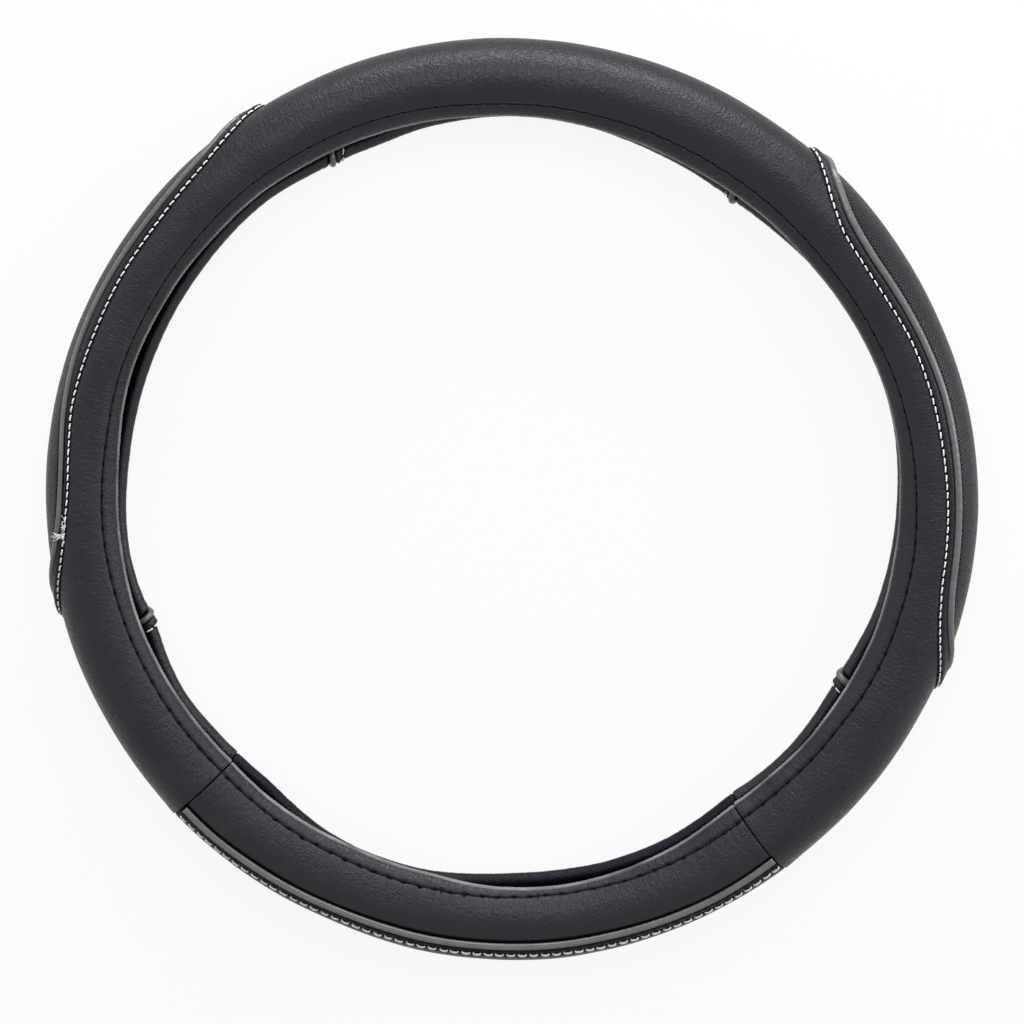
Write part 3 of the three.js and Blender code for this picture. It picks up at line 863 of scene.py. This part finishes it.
def makeBottomPanels():
    start = math.radians(ring["crossSeam"]) * ring["radius"] + seamGap
    end = math.radians(360 - ring["crossSeam"]) * ring["radius"] - seamGap
    seam = bottomSeam["path"]
    across = acrossOf(seam)
    front, rear = seam + across * edgeInset, seam - across * edgeInset
    for path in (front, rear):
        path[:, 0] = np.clip(path[:, 0], start, end)
    frontLine = np.vstack([
        front[::2], line(end, front[-1][1], end, panelRun), line(end, panelRun, start, panelRun),
        line(start, panelRun, start, front[0][1]),
    ])
    rearLine = np.vstack([
        rear[::2], line(end, rear[-1][1], end, -panelRun), line(end, -panelRun, start, -panelRun),
        line(start, -panelRun, start, rear[0][1]),
    ])
    beside = crossRows((ring["crossSeam"], 360 - ring["crossSeam"])) + hemRowPoints()
    rows = [(alongRows(seam, seamRows, leather["rowStep"]), 0.00034)] + beside
    panel = cutPanel("bottom_front_leather", frontLine, rows, [], [(seam, 1)], [], smoothLeather,
                     leather["seamShade"]["bottomFront"])
    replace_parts(panel, "bottom_front_panel")
    stitch = bottomSeam["stitchPath"]
    holes = holeRows(stitch, bottomSeam["stitchLengths"], leather["bottomPitch"], dipAlong, dipAcross)
    rows = [(alongRows(seam, [-r for r in seamRows], leather["rowStep"]), 0.00034), (holes, 0.00018),
            (alongRows(stitch, dipRows, 0.0009), 0.00040)] + beside
    stitches = [(stitch, bottomSeam["stitchLengths"], leather["bottomPitch"])]
    panel = cutPanel("bottom_rear_leather", rearLine, rows, [], [(seam, -1)], stitches, rearLeather,
                     leather["seamShade"]["bottomRear"])
    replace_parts(panel, "bottom_rear_panel")


makeMainPanel()
for gripName in gripSeams:
    makeGripPanel(gripName)
makeBottomPanels()


# Piping


def makePiping(name, seam, node, low, high, size, dent=0):
    path, lengths = seam["path"], seam["lengths"]
    end = -ring["tube"] * leather["pipingEnd"]
    keep = (path[:, 1] > end) & (path[:, 0] > low) & (path[:, 0] < high)
    path, lengths = path[keep], lengths[keep]
    ripple = 1 + leather["pipingRipple"] * np.sin(lengths / leather["topPitch"] * 2 * math.pi)
    rise = leather["pipingRise"][0] + leather["pipingRise"][1] * outside(path)
    sizes = np.interp(np.degrees(np.abs(path[:, 0])) / ring["radius"], *np.array(size, float).T)
    sides = leather["pipingSides"]
    rings = sweep(path, rise, leather["pipingRadius"] * sizes * ripple, sides)
    if dent:
        centre = rings.mean(1, keepdims=True)
        angles = np.arange(sides) * 2 * math.pi / sides
        at, width = leather["pipingDentAt"]
        pressed = 1 - dent * np.exp(-((angles - at) / width) ** 2)
        rings = centre + (rings - centre) * pressed[None, :, None]
    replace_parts(makeStrands(name, [rings], pipingLeather), node)
    print(name, round(lengths[-1] - lengths[0], 3), "m long")


for gripName, seam in gripSeams.items():
    makePiping(f"{gripName}_piping", seam, f"{gripName}_grip_piping", -1, 1,
               leather["pipingSize"][gripName])
bottomEnd = math.radians(360 - ring["crossSeam"]) * ring["radius"]
makePiping("bottom_piping_strand", bottomSeam, "bottom_piping", 0, bottomEnd,
           leather["pipingSize"]["bottom"], leather["pipingDent"])


# Stitches


def makeStitches(path, lengths, pitch, look, raised=()):
    # Each stitch rises out of one needle hole, lies along the leather and goes down the next
    _, rise, _ = shapeOf(path, raised, [], [])
    sideways = acrossOf(path)
    strands = []
    part = np.linspace(-1, 1, 9)
    radius, length = look["radius"], look["length"]
    for k in range(int(lengths[-1] / pitch)):
        start = k * pitch + (pitch - length) / 2 + random.uniform(-0.03, 0.03) * pitch
        at = np.linspace(start, start + length * random.uniform(0.94, 1.05), len(part))
        lean = look["slant"] * part + look["bow"] * (1 - part ** 2) + random.uniform(-0.00004, 0.00004)
        points = alongPath(at, lengths, path) + lean[:, None] * alongPath(at, lengths, sideways)
        if onLeather(points[4:5], rise[:1], False)[0, 2] < look["overFloor"]:
            continue
        lift = look["lift"] - (look["lift"] + look["sink"]) * part ** 6
        height = np.interp(at, lengths, rise) + radius * lift
        thickness = radius * random.uniform(0.92, 1.06) * (1 - 0.3 * part ** 8)
        strands.append(sweep(points, height, thickness, look["sides"]))
    return strands


topStitch = {
    "radius": 0.00031, "length": 0.0026, "slant": 0.00013, "bow": 0, "lift": 0.75, "sink": 0.2,
    "sides": 8,
    "overFloor": 0.0015,  # none lies lower than this
}
bottomStitch = dict(topStitch, radius=0.00044, length=0.0035, slant=0.0001, bow=-0.00035, lift=1.1,
                    sink=0.3)
hemStitch = dict(topStitch, radius=0.00027, length=0.0062, slant=0, lift=0.6, sink=1.4)
frayed = {
    "turn": -98.0,  # where a thread end has come loose on the left
    "around": 67,
    "loose": (-95.2, -98.4),
    "fibres": 10,
    "strays": 16,
    "straysFrom": (74, 2.3),  # round the tube at the first loose stitch, and the change with the turn
    "radius": 0.00013,
}
# Turn and length of the thread ends at the bottom hem
knots = [(184.9, 0.0019), (181.5, 0.0022), (170.6, 0.0021)]
knotRadius = 0.00030


def looseStrand(corners, radius, sides=6):
    # A bent thread through places given as (turn, around, rise in millimetres)
    places = np.array(corners, float)
    flat = flatOf(places[:, :2])
    at = np.linspace(0, len(places) - 1, 5 * len(places))
    known = np.arange(len(places))
    points = alongPath(at, known, flat)
    rise = np.interp(at, known, places[:, 2]) * 0.001
    return sweep(points, rise, radius * (1 - 0.5 * at / at[-1]), sides)


def frayedStrands():
    strands = []
    turn, around = frayed["turn"], frayed["around"]
    for k in range(frayed["fibres"]):
        # A brush of fibres towards the piping
        spread = 2 * k / (frayed["fibres"] - 1) - 1 + random.uniform(-0.1, 0.1)
        length = random.uniform(0.7, 1.1)
        end = (turn - (0.15 + spread * 0.65) * length, around - (18 - 4 * abs(spread)) * length)
        middle = ((turn + end[0]) / 2 + random.uniform(-0.15, 0.15), (around + end[1]) / 2)
        strands.append(looseStrand([
            (turn + random.uniform(-0.15, 0.15), around + random.uniform(-1, 1), 1.6),
            (*middle, 2.4 + 0.5 * length),
            (*end, 2.2 + random.uniform(-0.4, 0.6))], frayed["radius"]))
    first, slope = frayed["straysFrom"]
    for _ in range(frayed["strays"]):
        # Short fibres along the unravelled stitches
        at = random.uniform(*frayed["loose"])
        base = first - (frayed["loose"][0] - at) * slope
        strands.append(looseStrand([
            (at, base, 1.2), (at + random.uniform(-0.4, 0.4), base + random.uniform(-3, 2), 2.2),
            (at + random.uniform(-0.8, 0.5), base + random.uniform(-6, 4), 2.0)], frayed["radius"]))
    return strands


def knotStrands():
    strands = []
    for turn, length in knots:
        around = eased(hemLine["front"], math.radians(turn))
        half = math.degrees(length / ring["tube"]) / 2
        for lean in (-0.12, 0.1):
            strands.append(looseStrand([
                (turn + lean, around - half, 0.5), (turn, around, 0.8),
                (turn - lean, around + half * 1.1, 0.4)], knotRadius))
    return strands


for gripName, seam in gripSeams.items():
    strands = makeStitches(seam["stitchPath"], seam["stitchLengths"], leather["topPitch"], topStitch,
                           raisedEdges)
    if gripName == "left":
        strands += frayedStrands()
    thing = makeStrands(f"{gripName}_white_stitches", strands, whiteThread)
    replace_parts(thing, f"{gripName}_grip_topstitch")
strands = makeStitches(bottomSeam["stitchPath"], bottomSeam["stitchLengths"], leather["bottomPitch"],
                       bottomStitch)
thing = makeStrands("bottom_white_stitches", strands, whiteThread)
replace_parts(thing, "bottom_topstitch")
for hemName, (path, lengths) in hems.items():
    strands = makeStitches(path, lengths, leather["hemPitch"], hemStitch)
    if hemName == "front":
        strands += knotStrands()
    thing = makeStrands(f"{hemName}_hem_stitches", strands, blackThread)
    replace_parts(thing, f"{hemName}_hem_stitch")
print("stitches sewn")


# Rubber ring


rubberRing = {"outer": 0.0142, "inner": 0.0131, "shortOfLip": 0.03, "points": 40, "turns": 240}


def makeInnerRing():
    outer, inner, steps = rubberRing["outer"], rubberRing["inner"], rubberRing["turns"]
    stop = ring["lipAngle"] - rubberRing["shortOfLip"]
    angles = np.linspace(-stop, stop, rubberRing["points"])
    section = [(outer * math.cos(a), outer * math.sin(a)) for a in angles]
    section += [(inner * math.cos(a), inner * math.sin(a)) for a in angles[::-1]]
    section = np.array(section)
    turns = np.arange(steps) * 2 * math.pi / steps
    count = len(section)
    vertices = np.vstack([place(np.full(count, t), section[:, 0], section[:, 1]) for t in turns])
    faces = []
    for i in range(steps):
        here, there = i * count, (i + 1) % steps * count
        for j in range(count):
            k = (j + 1) % count
            faces.append((here + j, here + k, there + k, there + j))
    thing = makeObject("rubber_ring", vertices.tolist(), faces, rubber)
    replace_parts(thing, "inner_ring")


makeInnerRing()
print("pieces made")

# Stage

stageLook = {
    "floor": 0.86,
    "floorHalf": 3,
    "floorDrop": 0.0002,
    "floorRoughness": 0.9,
    "floorGlow": 0.90,
    "world": 0.30,
    "worldSeen": 1.0,
    "cameraTurn": math.radians(4.5),
    "cameraTilt": (math.tan(math.radians(4.17)), math.tan(math.radians(9.65)), 1),
    "cameraDistance": 1.3,
    "lens": 110.42,
    "shift": (0.0049, -0.0042),
}
lamps = {  # place, size and watts
    "top_softbox": ((0, 0.8, 1.2), (1.0, 0.5), 8),
    "low_top_softbox": ((0, 1.3, 0.3), (1.4, 0.4), 18),
    "right_softbox": ((1.25, 0.3, 0.45), (0.4, 1.2), 9),
    "left_softbox": ((-1.3, 0.1, 0.6), (0.4, 1.1), 2.5),
}


def seenRays(tree):
    # One where the camera sees the background, straight or in a reflection
    rays = addNode(tree, "ShaderNodeLightPath").outputs
    seen = rays["Is Camera Ray"]
    for name in ("Is Glossy Ray", "Is Transmission Ray"):
        seen = combined(tree, "MAXIMUM", seen, rays[name])
    return seen


def makeFloor():
    mesh = bpy.data.meshes.new("floor")
    half = stageLook["floorHalf"]
    corners = [(-half, -half, 0), (half, -half, 0), (half, half, 0), (-half, half, 0)]
    mesh.from_pydata(corners, [], [(0, 1, 2, 3)])
    material, tree, shader = nodesOf("floor")
    shader.inputs["Base Color"].default_value = (stageLook["floor"],) * 3 + (1,)
    shader.inputs["Roughness"].default_value = stageLook["floorRoughness"]
    # Where the background is seen the floor is paler, and a part of its own shading keeps the shadow
    glow = addNode(tree, "ShaderNodeEmission", {"Color": (1, 1, 1, 1), "Strength": 1.0})
    share = levels(tree, seenRays(tree), 0, stageLook["floorGlow"], 0, 1)
    mix = addNode(tree, "ShaderNodeMixShader", {0: share, 1: shader.outputs[0], 2: glow.outputs[0]})
    output = next(n for n in tree.nodes if n.type == "OUTPUT_MATERIAL")
    tree.links.new(mix.outputs[0], output.inputs[0])
    mesh.materials.append(material)
    floor = bpy.data.objects.new("floor", mesh)
    floor.location.z = -stageLook["floorDrop"]
    bpy.context.scene.collection.objects.link(floor)


def makeLight(name, where, size, power):
    light = bpy.data.lights.new(name, "AREA")
    light.shape = "RECTANGLE"
    light.size, light.size_y = size
    light.energy = power
    thing = bpy.data.objects.new(name, light)
    thing.location = where
    thing.rotation_mode = "QUATERNION"
    thing.rotation_quaternion = (-Vector(where)).to_track_quat("-Z", "Y")
    bpy.context.scene.collection.objects.link(thing)


def makeCamera():
    toImage = Matrix.Rotation(stageLook["cameraTurn"], 3, "Z")
    back = (toImage @ Vector(stageLook["cameraTilt"])).normalized()
    upward = toImage @ Vector((0, 1, 0))
    upward = (upward - back * upward.dot(back)).normalized()
    sideways = upward.cross(back)
    camera = bpy.data.cameras.new("camera")
    camera.lens = stageLook["lens"]
    camera.shift_x, camera.shift_y = stageLook["shift"]
    camera.clip_start = 0.05
    thing = bpy.data.objects.new("camera", camera)
    thing.rotation_mode = "QUATERNION"
    thing.rotation_quaternion = Matrix((sideways, upward, back)).transposed().to_quaternion()
    thing.location = Vector((0, 0, ring["middle"])) + back * stageLook["cameraDistance"]
    bpy.context.scene.collection.objects.link(thing)
    bpy.context.scene.camera = thing


def makeWorld():
    world = bpy.data.worlds.new("studio")
    world.use_nodes = True
    tree = world.node_tree
    background = tree.nodes["Background"]
    background.inputs[0].default_value = (1, 1, 1, 1)
    strength = levels(tree, seenRays(tree), stageLook["world"], stageLook["worldSeen"], 0, 1)
    tree.links.new(strength, background.inputs[1])
    bpy.context.scene.world = world


makeFloor()
makeWorld()
for lampName, lamp in lamps.items():
    makeLight(lampName, *lamp)
makeCamera()
bpy.context.scene.view_settings.view_transform = "Standard"

print("stage made")
